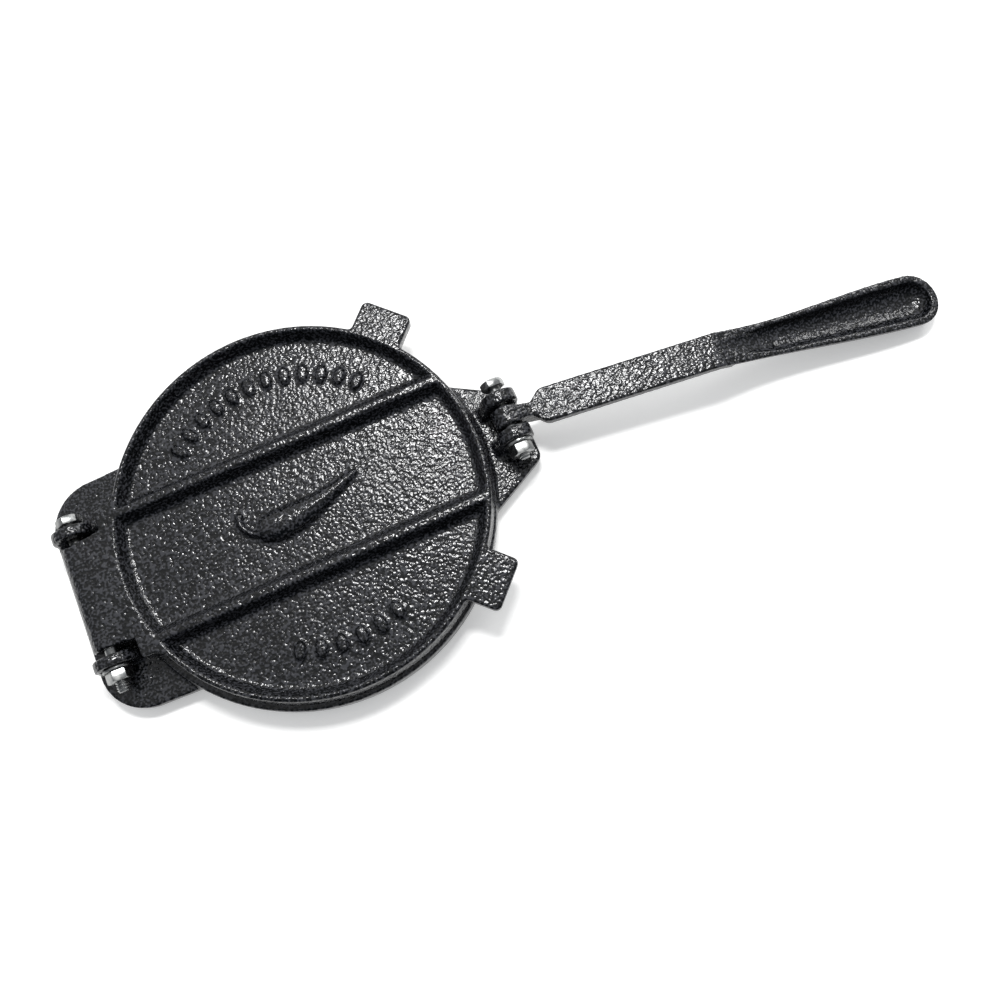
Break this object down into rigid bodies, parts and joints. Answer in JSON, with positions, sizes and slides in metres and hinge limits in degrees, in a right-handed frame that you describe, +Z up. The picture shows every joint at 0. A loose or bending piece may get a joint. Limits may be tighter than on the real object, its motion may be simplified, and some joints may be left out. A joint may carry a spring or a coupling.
{
  "type": "tortilla press",
  "caption": "Cast tortilla press: ribbed round upper plate hinged on a footed base plate, closed by a spoon-handled lever on a front clevis.",
  "frame": {"origin": "centre of the whole press in plan, on the table", "axes": "+X from the rear hinge to the lever's grip, +Y to the side of the bolt heads, +Z up"},
  "size_m": [0.4751, 0.1976, 0.0327],
  "materials": {
    "black_coating": "glossy black hammered-texture coating on cast iron",
    "zinc_steel": "dull zinc-plated steel"
  },
  "bodies": {
    "base": {"base_plate": "black_coating", "hinge_bolt": "zinc_steel", "hinge_washer": "zinc_steel", "hinge_nut": "zinc_steel", "lever_bolt": "zinc_steel", "lever_washer": "zinc_steel", "lever_nut": "zinc_steel"},
    "upper": {"top_plate": "black_coating"},
    "arm": {"lever": "black_coating"}
  },
  "joints": [
    {"name": "plate_hinge", "type": "hinge", "parent": "base", "child": "upper", "pos_m": [-0.22536, 0, 0.02], "axis": [0, -1, 0], "range_deg": [0, 180]},
    {"name": "lever_pivot", "type": "hinge", "parent": "base", "child": "arm", "pos_m": [-0.00286, 0, 0.0235], "axis": [0, -1, 0], "range_deg": [0, 153]}
  ]
}
